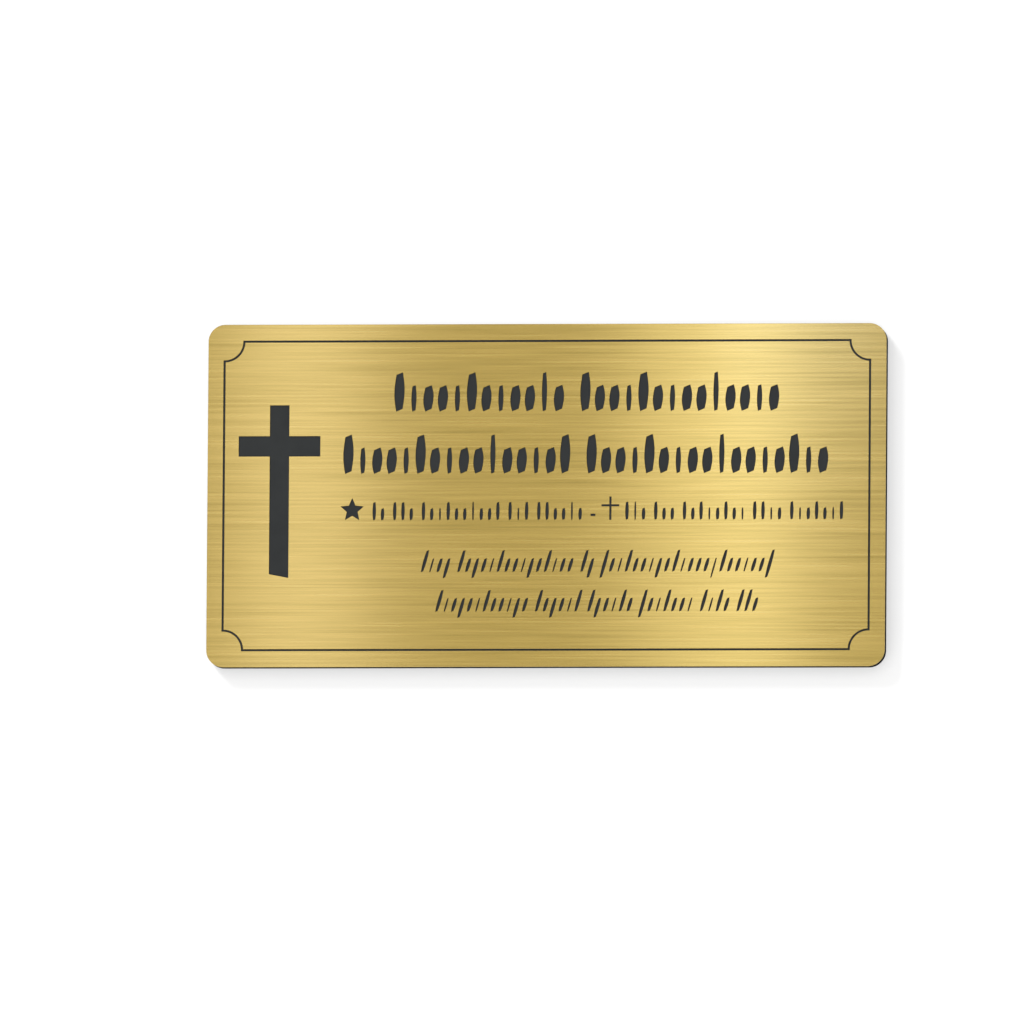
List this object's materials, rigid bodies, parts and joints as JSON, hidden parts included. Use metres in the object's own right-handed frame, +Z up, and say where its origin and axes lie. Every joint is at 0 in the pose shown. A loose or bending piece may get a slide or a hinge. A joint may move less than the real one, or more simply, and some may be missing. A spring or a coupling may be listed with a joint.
{
  "type": "funeral plaque",
  "caption": "Oblong memorial plaque of two-ply engraving sheet: brushed gold cap on a charcoal core, with a notched border line, cross, star and rows of strokes cut through the cap.",
  "frame": {"origin": "middle of the flat back face, where the plaque is fixed", "axes": "+X to the right along the rows, +Z up, and the engraved face looks along -Y"},
  "size_m": [0.2, 0.005, 0.101],
  "materials": {
    "gold_cap": "brushed along its length, satin",
    "charcoal_core": "matt, plain"
  },
  "bodies": {
    "root": {"core_sheet": "charcoal_core", "face_rim": "gold_cap", "face_panel": "gold_cap"}
  },
  "joints": []
}
